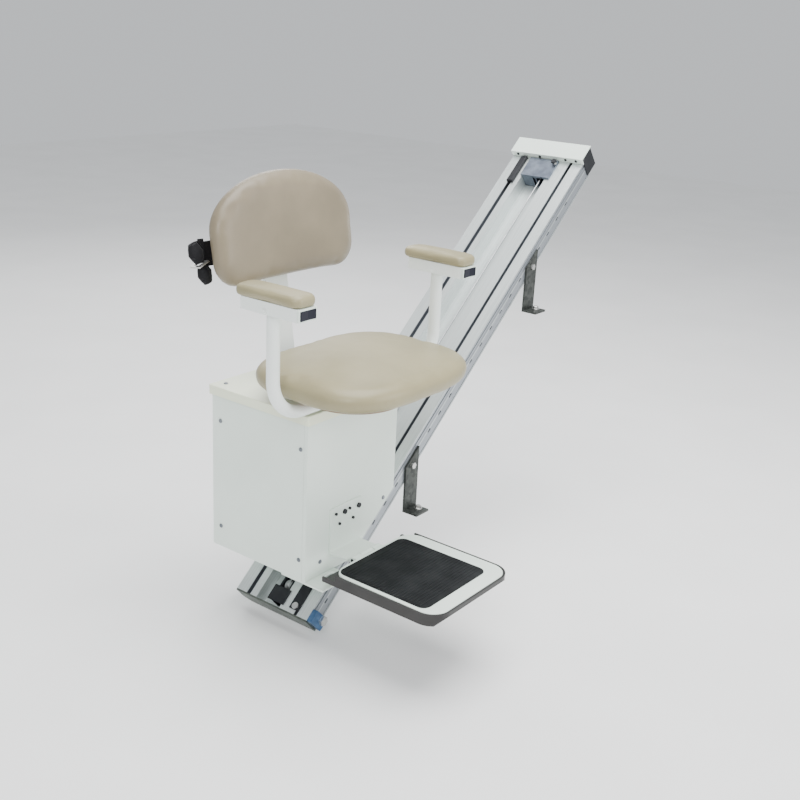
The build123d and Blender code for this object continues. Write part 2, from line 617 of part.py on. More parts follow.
def pan_shape(inset, top):
    """The pan's outline, its front and uphill sides sloping under, drawn smaller by inset."""
    x = (FOOT_X[0] - PAN_RIM + inset, FOOT_X[1] + PAN_RIM - inset)
    y = (FOOT_Y[0] - PAN_RIM + inset, PAN_TAIL_Y + 2)
    floor = PAN_Z[0] + inset
    slope = PAN_SLOPE - 0.6 * inset
    corner_r = FOOT_CORNER_R + PAN_RIM - inset
    upright = rounded_slab(x, (y[0], y[1] + 2 * FOOT_CORNER_R), (floor, top), corner_r)
    side = [(x[0], floor), (x[1] - slope, floor), (x[1], floor + slope), (x[1], top), (x[0], top)]
    across = plate_xz(side, (y[0] - 1, PAN_TAIL_Y))
    front = Polyline((0, y[0], top), (0, y[0], floor + slope), (0, y[0] + slope, floor), (0, y[1], floor),
                     (0, y[1], top), close=True)
    along = Pos(x[0] - 1, 0, 0) * extrude(make_face(front), amount=x[1] - x[0] + 2, dir=(1, 0, 0))
    return upright & across & along


pan = pan_shape(0, PAN_Z[1]) - pan_shape(PAN_WALL, PAN_Z[1] + 1)
tail_x = (FOOT_X[0] - 2 * PAN_RIM, FOOT_X[1] + 2 * PAN_RIM)
pan -= block(tail_x, (FOOT_Y[1] - 14, PAN_TAIL_Y + 10), (PAN_TAIL_Z, PAN_Z[1] + 2))
parts["obstruction_pan"] = pan


# ---- chair base and arm frame ----
def make_seat_base():
    """The seat's base plate, with its swivel hub, tube clamps, seat hinge ears and lever ears."""
    base = block((CHAIR_X - 110, CHAIR_X + 110), (-150, 22), BASE_Z)
    base = fillet(base.edges().filter_by(Axis.Z), 12)
    base += block((CHAIR_X - 83, CHAIR_X + 83), (0, 64), BASE_Z)
    base += block((CHAIR_X - 42, CHAIR_X + 42), (60, 103), BASE_Z)
    base += rod_z(CHAIR_X, SWIVEL_Y, (326.5, BASE_Z[0] + 1), COLUMN_R)
    base -= rod_z(CHAIR_X, SWIVEL_Y, (320, 351), SPINDLE_R + FIT)
    for side in (-1, 1):
        x = sorted((CHAIR_X + side * 66, CHAIR_X + side * 92))
        base += block(x, (POST_Y - 17, POST_Y + 17), (CROSS_Z, BASE_Z[0] + 1))
        for ear in (50, 71):
            x = sorted((CHAIR_X + side * ear, CHAIR_X + side * (ear + 8)))
            base += block(x, (SEAT_PIVOT[0] - 6, SEAT_PIVOT[0] + 6), (BASE_Z[1] - 1, SEAT_PIVOT[1]))
            base += rod_x(x, *SEAT_PIVOT, 6)
    for y in ((SWIVEL_Y - 14, SWIVEL_Y - 7), (SWIVEL_Y + 7, SWIVEL_Y + 14)):
        lever_ear_x = (CHAIR_X + LEVER_PIVOT - 7, CHAIR_X + LEVER_PIVOT + 7)
        base += block(lever_ear_x, y, (LEVER_Z - 6, BASE_Z[0] + 1))
    base -= rod_x((CHAIR_X - 120, CHAIR_X + 120), POST_Y, CROSS_Z, TUBE_R)
    base -= rod_x((CHAIR_X - 90, CHAIR_X + 90), *SEAT_PIVOT, SEAT_PIN_R + FIT)
    return base - rod_y(CHAIR_X + LEVER_PIVOT, (SWIVEL_Y - 15, SWIVEL_Y + 15), LEVER_Z, 3 + FIT)


parts["seat_base"] = make_seat_base()

lever_x = CHAIR_X + LEVER_PIVOT
lever = rod_x((lever_x, CHAIR_X + LEVER_END - 20), SWIVEL_Y, LEVER_Z, 5)
lever += rod_x((CHAIR_X + LEVER_END - 45, CHAIR_X + LEVER_END), SWIVEL_Y, LEVER_Z, 7)
lever += rod_y(lever_x, (SWIVEL_Y - 6.5, SWIVEL_Y + 6.5), LEVER_Z, 6)
lever += rod_y(lever_x, (SWIVEL_Y - 14, SWIVEL_Y + 14), LEVER_Z, 3)
lever += block((lever_x + 12, lever_x + 20), (SWIVEL_Y - 4.5, SWIVEL_Y + 4.5), (326.6, LEVER_Z))
parts["swivel_lever"] = lever


def make_arm_frame():
    """One tube bent into both posts and the bar that joins them under the seat."""
    left = CHAIR_X - POST_OFFSET
    right = CHAIR_X + POST_OFFSET
    points = [(left, POST_Y, POST_TOP), (left, POST_Y, CROSS_Z), (right, POST_Y, CROSS_Z)]
    path = FilletPolyline(*points, (right, POST_Y, POST_TOP), radius=POST_BEND_R)
    start = Plane(origin=path @ 0, z_dir=path % 0)
    tube = sweep(start * Circle(TUBE_R), path=path) - sweep(start * Circle(TUBE_R - TUBE_WALL), path=path)
    for x in (left, right):
        tube -= rod_x((x - 20, x + 20), POST_Y, ARM_PIVOT_Z, ARM_PIN_R)
    return tube


parts["arm_frame"] = make_arm_frame()

# ---- seat ----
seat_x = (CHAIR_X - SEAT_WIDTH / 2, CHAIR_X + SEAT_WIDTH / 2)
seat_y = (SEAT_Y - SEAT_DEPTH / 2, SEAT_Y + SEAT_DEPTH / 2)
seat_cushion = rounded_slab(seat_x, seat_y, SEAT_Z, SEAT_CORNER_R)
parts["seat_cushion"] = fillet(
    seat_cushion.edges().group_by(Axis.Z)[-1] + seat_cushion.edges().group_by(Axis.Z)[0], 14)

seat_board_x = (seat_x[0] + SEAT_BOARD_INSET, seat_x[1] - SEAT_BOARD_INSET)
seat_board_y = (seat_y[0] + SEAT_BOARD_INSET, seat_y[1] - SEAT_BOARD_INSET)
seat_board_z = (SEAT_Z[0] - BOARD, SEAT_Z[0])
seat_board = rounded_slab(seat_board_x, seat_board_y, seat_board_z, SEAT_CORNER_R - SEAT_BOARD_INSET)
for side in (-1, 1):
    ear_x = sorted((CHAIR_X + side * 58.5, CHAIR_X + side * 70.5))
    seat_board += block(ear_x, (seat_board_y[1] - 20, SEAT_PIVOT[0]), (seat_board_z[0] + 1, SEAT_Z[0]))
    seat_board += rod_x(ear_x, *SEAT_PIVOT, 6)
    pin_x = sorted((CHAIR_X + side * 50, CHAIR_X + side * 79))
    seat_board += rod_x(pin_x, *SEAT_PIVOT, SEAT_PIN_R)
parts["seat_board"] = seat_board

# ---- back ----
BACK = Location((CHAIR_X, BACK_FOOT[0], BACK_FOOT[1]), (-BACK_LEAN, 0, 0))


def back_slab(shrink, y):
    """A slab with the back's outline: round top, softer square bottom, shrunk all round."""
    half = BACK_WIDTH / 2 - shrink
    top = BACK_Z[1] - BACK_MID - shrink
    bottom = BACK_MID - BACK_Z[0] - shrink
    below = RectangleRounded(2 * half, 2 * bottom, BACK_CORNER_R - shrink)
    below &= Pos(0, -bottom) * Rectangle(4 * half, 2 * bottom)
    above = Ellipse(half, top) & Pos(0, top) * Rectangle(4 * half, 2 * top)
    slab = extrude(above + below, y[1] - y[0])
    return Pos(0, y[1], BACK_MID) * Rot(90, 0, 0) * slab


pad = back_slab(0, (0, BACK_PAD))
parts["backrest_cushion"] = BACK * fillet(pad.edges().group_by(Axis.Y)[0], 12)
back_board_y = (BACK_PAD, BACK_PAD + BACK_BOARD)
parts["back_board"] = BACK * back_slab(BACK_BOARD_INSET, back_board_y)

upright_y = (back_board_y[1] + BACK_SPACER, back_board_y[1] + BACK_SPACER + UPRIGHT)
upright = block((-UPRIGHT_WIDTH / 2, UPRIGHT_WIDTH / 2), upright_y, (-10, UPRIGHT_TOP))
upright = fillet(upright.edges().filter_by(Axis.Y).group_by(Axis.Z)[-1], 20)
upright += block((-18, 18), (back_board_y[1], upright_y[0]), (205, 355))
parts["back_upright"] = BACK * upright - block((-400, 0), (0, 300), (0, BASE_Z[1]))

# ---- belt ----
belt_y = (upright_y[1] + 0.1, upright_y[1] + 2.6)
bundle_y = (-BUNDLE_HALF, BUNDLE_HALF)
bundle_place = Location(BUNDLE, (0, -BUNDLE_LEAN, 0))
upper_lobe = fillet(block((-18, 18), bundle_y, (5, 44)).edges(), 12)
lower_lobe = fillet(block((-14, 14), bundle_y, (-40, -3)).edges(), 11)
left_belt = block((BUNDLE[0], -20), belt_y, BELT_Z)
left_belt += block((BUNDLE[0] + 5, BUNDLE[0] + 21), (BUNDLE[1], belt_y[1]), (206, 290))
left_belt += bundle_place * upper_lobe
left_belt += bundle_place * lower_lobe
left_belt -= bundle_place * block((-18, 13), (-BUNDLE_HALF - 1, BUNDLE_HALF), (-1, 4))
right_belt = block((20, BUCKLE_X[0]), belt_y, BELT_Z)
parts["belt_webbing"] = BACK * joined([left_belt, right_belt])
buckle_y = (upright_y[1] - 6, upright_y[1] + 8)
buckle = fillet(block(BUCKLE_X, buckle_y, (BELT_Z[0] + 3, BELT_Z[1] - 3)).edges(), 3)
button_y = (upright_y[1] + 3, upright_y[1] + 9.5)
buckle -= block((168, 186), (button_y[0] - 3.2, button_y[1] + 1), (246, 274))
buckle -= block((BUCKLE_X[0] - 1, BUCKLE_X[0] + 6), belt_y, BELT_Z)
parts["belt_buckle"] = BACK * buckle
parts["buckle_button"] = BACK * block((168.4, 185.6), button_y, (246.4, 273.6))
tongue = block((-17, 11), (-14, 14), (0, 3)) - block((-11, 0), (-8, 8), (-1, 4))
parts["belt_tongue"] = BACK * (bundle_place * tongue)


# ---- arms ----
def make_arm(name, centre):
    """An armrest: channel on the post, pad, switch housing and rocker."""
    sides = (centre - ARM_WIDTH / 2, centre + ARM_WIDTH / 2)
    inside = (sides[0] + ARM_WALL, sides[1] - ARM_WALL)
    channel = block(sides, ARM_Y, ARM_Z)
    channel -= block(inside, (ARM_Y[0] - 1, ARM_Y[1] + 1), (ARM_Z[0] - 1, ARM_Z[1] - ARM_WALL))
    channel -= rod_x((sides[0] - 1, sides[1] + 1), POST_Y, ARM_PIVOT_Z, ARM_PIN_R + FIT)
    parts[name + "_arm_channel"] = channel
    top = ARM_Z[1] + PAD_HEIGHT
    arm_pad = rounded_slab((centre - PAD_WIDTH / 2, centre + PAD_WIDTH / 2), PAD_Y, (ARM_Z[1], top), 22)
    parts[name + "_arm_pad"] = fillet(arm_pad.edges().group_by(Axis.Z)[-1], 8)
    bezel = block(sides, (ARM_Y[0] - 5, ARM_Y[0]), ARM_Z)
    bezel = fillet(bezel.edges().filter_by(Axis.Y), 3)
    bezel += block(inside, (ARM_Y[0] - 1, ARM_Y[0] + 24), (ARM_Z[0] + 1, ARM_Z[1] - ARM_WALL))
    opening_z = (ARM_Z[0] + 2.5, ARM_Z[1] - 3.5)
    bezel -= block((centre - 20.5, centre + 20.5), (ARM_Y[0] - 6, ARM_Y[0] + 9), opening_z)
    parts[name + "_switch_housing"] = bezel
    outline = [(-19.5, -7), (0, -5.2), (19.5, -7), (19.5, 1), (0, 6), (-19.5, 1)]
    face = make_face(Polyline(*[(centre + x, ARM_Y[0] + y) for x, y in outline], close=True))
    height = opening_z[1] - opening_z[0] - 0.8
    parts[name + "_rocker"] = Pos(0, 0, opening_z[0] + 0.4) * extrude(face, height)


make_arm("left", CHAIR_X - POST_OFFSET)
make_arm("right", CHAIR_X + POST_OFFSET)

pivots = []
for post_x in (CHAIR_X - POST_OFFSET, CHAIR_X + POST_OFFSET):
    half_span = ARM_WIDTH / 2 + 0.3
    pivot = rod_x((post_x - half_span, post_x + half_span), POST_Y, ARM_PIVOT_Z, ARM_PIN_R)
    for side in (-1, 1):
        cap_x = sorted((post_x + side * half_span, post_x + side * (half_span + 3)))
        pivot += rod_x(cap_x, POST_Y, ARM_PIVOT_Z, 5)
    pivots.append(pivot)
parts["arm_pivot_bolts"] = joined(pivots)

os.makedirs("parts", exist_ok=True)
for node, shape in parts.items():
    export_step(shape, "parts/" + node + ".step")
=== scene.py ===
"""Looks of the stairlift: vinyl cushions, powder coated steel and a bright aluminium rail."""
import json
import math

import bmesh
import bpy
from mathutils import Matrix, Vector


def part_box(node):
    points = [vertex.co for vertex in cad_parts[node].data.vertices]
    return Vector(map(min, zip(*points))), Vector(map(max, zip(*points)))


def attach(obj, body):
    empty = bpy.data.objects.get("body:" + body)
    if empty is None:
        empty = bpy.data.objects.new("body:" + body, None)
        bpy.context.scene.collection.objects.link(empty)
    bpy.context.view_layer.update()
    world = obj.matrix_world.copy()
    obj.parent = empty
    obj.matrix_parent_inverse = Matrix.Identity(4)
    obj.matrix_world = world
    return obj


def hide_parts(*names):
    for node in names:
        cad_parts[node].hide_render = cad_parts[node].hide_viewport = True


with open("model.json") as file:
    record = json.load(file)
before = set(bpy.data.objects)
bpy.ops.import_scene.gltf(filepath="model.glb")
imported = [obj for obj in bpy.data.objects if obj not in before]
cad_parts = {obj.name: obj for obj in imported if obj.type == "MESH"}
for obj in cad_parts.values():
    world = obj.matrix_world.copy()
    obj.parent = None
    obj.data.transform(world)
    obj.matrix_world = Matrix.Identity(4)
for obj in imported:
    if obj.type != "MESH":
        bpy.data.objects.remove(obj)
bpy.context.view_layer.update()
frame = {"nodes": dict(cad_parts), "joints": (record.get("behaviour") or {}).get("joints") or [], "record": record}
MM = 0.001

# ---- sizes that the part also has ----
STEP_RISE = 193 * MM            # the floor is one step below the origin
RAIL_TOP_Z = 161.2 * MM         # the rail's top face above the origin
RAIL_START_X = -349.2 * MM      # the lower end of that face
RAIL_DEPTH = 48 * MM
CHANNEL_Y = (-24 * MM, 44 * MM)
BACK_FOOT = (32.3 * MM, 355 * MM)   # y and z of the foot of the leaned back's front face
BACK_LEAN = math.radians(9)
BACK_PAD_DEPTH = 42 * MM
BACK_HEIGHTS = (187 * MM, 300 * MM, 413 * MM)   # bottom, widest place and top of the back pad
BACK_STACK = 24 * MM            # the board, spacer and upright behind the back pad
TREAD_FOOT_THICKNESS = 5 * MM
ARM_WALL = 2.5 * MM
SCREW_HEAD = 9 * MM             # width of the part's plain panel screws
MAT_CORNER_R = 18 * MM
BUNDLE = (-202 * MM, 58 * MM, 243 * MM)     # the folded belt: beside, behind and up the back
BUNDLE_LEAN = math.radians(20)

# ---- directions ----
JOINTS = {joint["name"]: joint for joint in frame["joints"]}
SLOPE_AXIS = Vector(JOINTS["carriage_travel"]["axis"]).normalized()
SLOPE = math.atan2(SLOPE_AXIS.z, SLOPE_AXIS.x)
RAIL_UP = Vector((-math.sin(SLOPE), 0, math.cos(SLOPE)))
RAIL_TOP_H = RAIL_TOP_Z * math.cos(SLOPE)
RAIL_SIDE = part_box("rail_extrusion")[1][1]
BACK_UP = Vector((0, math.sin(BACK_LEAN), math.cos(BACK_LEAN)))
BACK_REAR = Vector((0, math.cos(BACK_LEAN), -math.sin(BACK_LEAN)))


def centre(node):
    """The middle of a CAD node's box."""
    low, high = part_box(node)
    return (Vector(low) + Vector(high)) / 2


def rail_point(along, across, above):
    """A point along the rail from its lower end, across it, and above its top face."""
    start = Vector((RAIL_START_X, 0, RAIL_TOP_Z + RAIL_START_X * math.tan(SLOPE)))
    return start + SLOPE_AXIS * along + RAIL_UP * above + Vector((0, across, 0))


def back_point(x, rear, up):
    """A point of the leaned back: x from its middle, rear behind its front face, up from its foot."""
    foot = Vector((centre("back_upright").x + x, *BACK_FOOT))
    return foot + BACK_REAR * rear + BACK_UP * up


def bundle_point(x, y, z):
    """A point of the folded belt bundle, which leans beside the back pad."""
    c, s = math.cos(BUNDLE_LEAN), math.sin(BUNDLE_LEAN)
    return back_point(BUNDLE[0] + x * c - z * s, BUNDLE[1] + y, BUNDLE[2] + z * c + x * s)


# ---- camera ----
CAMERA_PLACE = (-1.8839, -1.4657, 1.0777)
CAMERA_YAW, CAMERA_PITCH, CAMERA_ROLL = 0.6427, 0.3389, 0.0508
CAMERA_LENS, CAMERA_SENSOR = 50.37, 36


def make_camera():
    """The camera, downhill of the lift and in front of it, looking down on it from chest height."""
    yaw, pitch, roll = CAMERA_YAW, CAMERA_PITCH, CAMERA_ROLL
    flat = math.cos(pitch)
    forward = Vector((math.cos(yaw) * flat, math.sin(yaw) * flat, -math.sin(pitch)))
    level = Vector((math.sin(yaw), -math.cos(yaw), 0))
    above = level.cross(forward)
    right = level * math.cos(roll) + above * math.sin(roll)
    up = above * math.cos(roll) - level * math.sin(roll)
    data = bpy.data.cameras.new("camera")
    data.lens = CAMERA_LENS
    data.sensor_width = CAMERA_SENSOR
    camera = bpy.data.objects.new("camera", data)
    bpy.context.collection.objects.link(camera)
    turn = Matrix((right, up, -forward)).transposed().to_4x4()
    camera.matrix_world = Matrix.Translation(CAMERA_PLACE) @ turn
    bpy.context.scene.camera = camera


make_camera()


# ---- stage ----
SKY_COLOUR, SKY_STRENGTH = (0.94, 0.97, 1.0, 1), 0.72
LIGHT_TARGET = Vector((0, 0, 0.3))
LIGHTS = (      # name, place, size and power
    ("overhead", (0.1, -0.4, 3.0), 2.4, 150),
    ("key", (-2.6, -1.6, 2.0), 1.4, 52),
    ("front", (0.9, -3.0, 1.3), 1.6, 48),
    ("back", (1.6, 2.4, 2.2), 1.8, 40),
)


def make_stage():
    """A pale floor and soft lights."""
    bpy.ops.mesh.primitive_plane_add(size=14, location=(0.3, 0, -STEP_RISE))
    floor = bpy.context.object
    floor.name = "floor"
    paint, shader = new_material("floor_paint", roughness=0.7)
    shade = spots(paint, 3, 2)
    blend_colours(paint, shader, shade, (0.90, 0.90, 0.895), (0.93, 0.93, 0.925))
    floor.data.materials.append(paint)
    world = bpy.data.worlds.new("studio")
    world.use_nodes = True
    background = world.node_tree.nodes["Background"]
    background.inputs["Color"].default_value = SKY_COLOUR
    background.inputs["Strength"].default_value = SKY_STRENGTH
    bpy.context.scene.world = world
    for name, spot, size, power in LIGHTS:
        data = bpy.data.lights.new(name, "AREA")
        data.energy = power
        data.size = size
        light = bpy.data.objects.new(name, data)
        bpy.context.collection.objects.link(light)
        light.location = spot
        light.rotation_euler = (LIGHT_TARGET - Vector(spot)).to_track_quat("-Z", "Y").to_euler()


# ---- material helpers ----
def new_material(name, roughness, metallic=0.0):
    """A material and its Principled shader."""
    paint = bpy.data.materials.new(name)
    paint.use_nodes = True
    shader = paint.node_tree.nodes["Principled BSDF"]
    shader.inputs["Roughness"].default_value = roughness
    shader.inputs["Metallic"].default_value = metallic
    return paint, shader


def node(paint, kind, **settings):
    """A new node with some of its settings."""
    made = paint.node_tree.nodes.new(kind)
    for key, value in settings.items():
        setattr(made, key, value)
    return made


def place(paint, stretch=(1, 1, 1), tilt=0.0):
    """Object coordinates, stretched, and tilted about Y to follow the rail."""
    coordinates = node(paint, "ShaderNodeTexCoord")
    mapping = node(paint, "ShaderNodeMapping", vector_type="TEXTURE")
    mapping.inputs["Rotation"].default_value = (0, tilt, 0)
    mapping.inputs["Scale"].default_value = stretch
    paint.node_tree.links.new(coordinates.outputs["Object"], mapping.inputs["Vector"])
    return mapping.outputs["Vector"]


def spots(paint, scale, detail=3, stretch=(1, 1, 1), tilt=0.0):
    """Noise over the object, from 0 to 1."""
    texture = node(paint, "ShaderNodeTexNoise")
    texture.inputs["Scale"].default_value = scale
    texture.inputs["Detail"].default_value = detail
    paint.node_tree.links.new(place(paint, stretch, tilt), texture.inputs["Vector"])
    return texture.outputs["Fac"]


def cells(paint, scale, feature="F1"):
    """Voronoi cells over the object."""
    texture = node(paint, "ShaderNodeTexVoronoi", feature=feature)
    texture.inputs["Scale"].default_value = scale
    paint.node_tree.links.new(place(paint), texture.inputs["Vector"])
    return texture


def blend_colours(paint, shader, factor, low, high, start=0.35, end=0.65):
    """Colours the surface between two colours by a factor."""
    ramp = node(paint, "ShaderNodeValToRGB")
    ramp.color_ramp.elements[0].position = start
    ramp.color_ramp.elements[1].position = end
    ramp.color_ramp.elements[0].color = (*low, 1)
    ramp.color_ramp.elements[1].color = (*high, 1)
    paint.node_tree.links.new(factor, ramp.inputs["Fac"])
    paint.node_tree.links.new(ramp.outputs["Color"], shader.inputs["Base Color"])
    return ramp


def vary_roughness(paint, shader, factor, low, high):
    """Spreads the roughness between two values."""
    spread = node(paint, "ShaderNodeMapRange")
    spread.inputs["To Min"].default_value = low
    spread.inputs["To Max"].default_value = high
    paint.node_tree.links.new(factor, spread.inputs["Value"])
    paint.node_tree.links.new(spread.outputs["Result"], shader.inputs["Roughness"])


def bump(paint, shader, height, strength, depth):
    """Raises the surface by a height, in metres at full strength."""
    raised = node(paint, "ShaderNodeBump")
    raised.inputs["Strength"].default_value = strength
    raised.inputs["Distance"].default_value = depth
    paint.node_tree.links.new(height, raised.inputs["Height"])
    previous = shader.inputs["Normal"].links
    if previous:
        paint.node_tree.links.new(previous[0].from_socket, raised.inputs["Normal"])
    paint.node_tree.links.new(raised.outputs["Normal"], shader.inputs["Normal"])


# ---- materials ----
def make_vinyl(name, low, high):
    """Smooth upholstery vinyl with a fine pebble grain and a soft sheen."""
    paint, shader = new_material(name, roughness=0.42)
    blend_colours(paint, shader, spots(paint, 9, 4), low, high)
    vary_roughness(paint, shader, spots(paint, 30, 3), 0.36, 0.5)
    grain = cells(paint, 900, "SMOOTH_F1").outputs["Distance"]
    bump(paint, shader, grain, strength=0.18, depth=0.4 * MM)
    bump(paint, shader, spots(paint, 14, 2), strength=0.12, depth=3 * MM)
    shader.inputs["Coat Weight"].default_value = 0.12
    shader.inputs["Coat Roughness"].default_value = 0.35
    shader.inputs["Sheen Weight"].default_value = 0.04
    return paint


def make_powder_coat(name, low, high, roughness=0.38):
    """Baked powder coat with a faint orange peel."""
    paint, shader = new_material(name, roughness)
    blend_colours(paint, shader, spots(paint, 5, 4), low, high)
    vary_roughness(paint, shader, spots(paint, 22, 3), roughness - 0.06, roughness + 0.07)
    bump(paint, shader, spots(paint, 420, 2), strength=0.1, depth=0.3 * MM)
    shader.inputs["Coat Weight"].default_value = 0.2
    shader.inputs["Coat Roughness"].default_value = 0.25
    return paint


def ramp_between(paint, value, low, high):
    """Runs from 0 to 1 as a value goes from low to high."""
    spread = node(paint, "ShaderNodeMapRange")
    spread.inputs["From Min"].default_value = low
    spread.inputs["From Max"].default_value = high
    paint.node_tree.links.new(value, spread.inputs["Value"])
    return spread.outputs["Result"]


def combine(paint, operation, first, second):
    """A math node on two values."""
    made = node(paint, "ShaderNodeMath", operation=operation)
    for socket, value in zip(made.inputs, (first, second)):
        paint.node_tree.links.new(value, socket)
    return made.outputs[0]


def mix_colours(paint, kind, factor, first, second):
    """Blends two colour outputs."""
    mix = node(paint, "ShaderNodeMixRGB", blend_type=kind)
    for socket, value in zip(mix.inputs, (factor, first, second)):
        paint.node_tree.links.new(value, socket)
    return mix.outputs["Color"]


# Painted shade: the dark lavender put on the rail's slot walls, where shade falls.
SLOT_PAINTED_SHADE = (0.40, 0.40, 0.46, 1)
SIDE_PAINTED_LIGHT_BANDS = (      # share of the rail's depth from its underside, and the painted light there: bands of painted highlight and shade for the grooves of the side
    (0.0, (0.40, 0.40, 0.43)), (0.08, (0.82, 0.82, 0.84)), (0.14, (0.50, 0.50, 0.55)),
    (0.48, (0.52, 0.52, 0.57)), (0.54, (0.92, 0.92, 0.93)), (0.60, (0.38, 0.38, 0.43)),
    (0.74, (0.54, 0.54, 0.59)), (0.94, (0.68, 0.68, 0.71)),
)


def shade_below_top(paint, shader, colour):
    """Paints shade on the rail's slot walls and sides, and paints bands of highlight and shade along its sides
    where light would fall on the grooves of the extrusion.
    """
    split = node(paint, "ShaderNodeSeparateXYZ")
    paint.node_tree.links.new(place(paint, tilt=-SLOPE), split.inputs["Vector"])
    across, height = split.outputs["Y"], split.outputs["Z"]
    bottom = RAIL_TOP_H - RAIL_DEPTH
    below = ramp_between(paint, height, RAIL_TOP_H - 0.6 * MM, RAIL_TOP_H - 1.6 * MM)
    above = ramp_between(paint, height, bottom + 0.6 * MM, bottom + 1.2 * MM)
    wall_side = ramp_between(paint, across, CHANNEL_Y[1] + 2 * MM, CHANNEL_Y[1] + 4 * MM)
    room_side = ramp_between(paint, across, CHANNEL_Y[0] - 2 * MM, CHANNEL_Y[0] - 4 * MM)
    beside_channel = combine(paint, "MAXIMUM", wall_side, room_side)
    wall_face = ramp_between(paint, across, RAIL_SIDE - 4 * MM, RAIL_SIDE - 3 * MM)
    room_face = ramp_between(paint, across, 4 * MM - RAIL_SIDE, 3 * MM - RAIL_SIDE)
    outer = combine(paint, "MAXIMUM", wall_face, room_face)
    bands = node(paint, "ShaderNodeValToRGB")
    stops = bands.color_ramp.elements
    for position, painted_light in SIDE_PAINTED_LIGHT_BANDS[1:-1]:
        stops.new(position).color = (*painted_light, 1)
    stops[0].color = (*SIDE_PAINTED_LIGHT_BANDS[0][1], 1)
    stops[len(stops) - 1].color = (*SIDE_PAINTED_LIGHT_BANDS[-1][1], 1)
    paint.node_tree.links.new(ramp_between(paint, height, bottom, RAIL_TOP_H), bands.inputs["Fac"])
    slot_shade = node(paint, "ShaderNodeRGB")
    slot_shade.outputs["Color"].default_value = SLOT_PAINTED_SHADE
    painted_light = mix_colours(paint, "MIX", outer, slot_shade.outputs["Color"], bands.outputs["Color"])
    within = combine(paint, "MULTIPLY", below, above)
    inside = combine(paint, "MULTIPLY", within, beside_channel)
    # Multiplies the painted shade and painted highlight bands into the aluminium's colour on the sides and slot
    # walls.
    shaded = mix_colours(paint, "MULTIPLY", inside, colour, painted_light)
    paint.node_tree.links.new(shaded, shader.inputs["Base Color"])


def make_extrusion():
    """Anodised aluminium with fine drawing lines along the rail, and painted shade and highlights on its sides and
    slot walls.
    """
    paint, shader = new_material("drawn_aluminium", roughness=0.36, metallic=0.55)
    lines = spots(paint, 3, 5, stretch=(0.6, 0.006, 0.006), tilt=-SLOPE)
    ramp = blend_colours(paint, shader, lines, (0.54, 0.59, 0.585), (0.68, 0.72, 0.71), start=0.3, end=0.7)
    shade_below_top(paint, shader, ramp.outputs["Color"])
    vary_roughness(paint, shader, lines, 0.26, 0.42)
    ripple = spots(paint, 2, 3, stretch=(1, 0.012, 0.012), tilt=-SLOPE)
    bump(paint, shader, ripple, strength=0.08, depth=0.4 * MM)
    return paint


def make_galvanised():
    """Zinc with crystal spangle."""
    paint, shader = new_material("zinc_spangle", roughness=0.5, metallic=0.6)
    spangle = cells(paint, 130).outputs["Color"]
    blend_colours(paint, shader, spangle, (0.034, 0.038, 0.035), (0.070, 0.076, 0.070), start=0.2, end=0.8)
    vary_roughness(paint, shader, spots(paint, 60, 3), 0.38, 0.6)
    bump(paint, shader, spots(paint, 300, 2), strength=0.12, depth=0.3 * MM)
    return paint


def make_steel(name, low, high, roughness=0.32):
    """Turned or rolled steel with small scratches."""
    paint, shader = new_material(name, roughness, metallic=0.95)
    blend_colours(paint, shader, spots(paint, 40, 4), low, high)
    vary_roughness(paint, shader, spots(paint, 120, 4), roughness - 0.1, roughness + 0.12)
    bump(paint, shader, spots(paint, 600, 3), strength=0.1, depth=0.2 * MM)
    return paint


def make_plastic(name, low, high, roughness=0.45, grain=700, gloss=0.5):
    """Moulded plastic with a spark eroded grain."""
    paint, shader = new_material(name, roughness)
    shader.inputs["Specular IOR Level"].default_value = gloss
    blend_colours(paint, shader, spots(paint, 16, 3), low, high)
    vary_roughness(paint, shader, spots(paint, 50, 3), roughness - 0.07, roughness + 0.08)
    bump(paint, shader, spots(paint, grain, 2), strength=0.2, depth=0.3 * MM)
    return paint


def make_rubber(name, low, high):
    """Matte rubber, a little dusty."""
    paint, shader = new_material(name, roughness=0.75)
    blend_colours(paint, shader, spots(paint, 20, 5), low, high, start=0.4, end=0.75)
    vary_roughness(paint, shader, spots(paint, 70, 4), 0.62, 0.86)
    bump(paint, shader, spots(paint, 500, 3), strength=0.25, depth=0.4 * MM)
    shader.inputs["Specular IOR Level"].default_value = 0.22
    return paint


def make_webbing():
    """Woven belt webbing with a diagonal rib."""
    paint, shader = new_material("belt_weave", roughness=0.7)
    rib = node(paint, "ShaderNodeTexWave", bands_direction="DIAGONAL")
    rib.inputs["Scale"].default_value = 260
    rib.inputs["Distortion"].default_value = 0.4
    paint.node_tree.links.new(place(paint), rib.inputs["Vector"])
    weave = rib.outputs["Fac"]
    blend_colours(paint, shader, weave, (0.004, 0.004, 0.005), (0.011, 0.011, 0.013), start=0.2, end=0.8)
    bump(paint, shader, weave, strength=0.4, depth=0.4 * MM)
    shader.inputs["Sheen Weight"].default_value = 0.03
    shader.inputs["Specular IOR Level"].default_value = 0.2
    return paint


def make_plywood():
    """Sealed plywood."""
    paint, shader = new_material("sealed_ply", roughness=0.5)
    grain = spots(paint, 5, 6, stretch=(0.5, 0.03, 0.03))
    blend_colours(paint, shader, grain, (0.20, 0.13, 0.075), (0.36, 0.25, 0.15), start=0.3, end=0.7)
    bump(paint, shader, grain, strength=0.15, depth=0.4 * MM)
    return paint


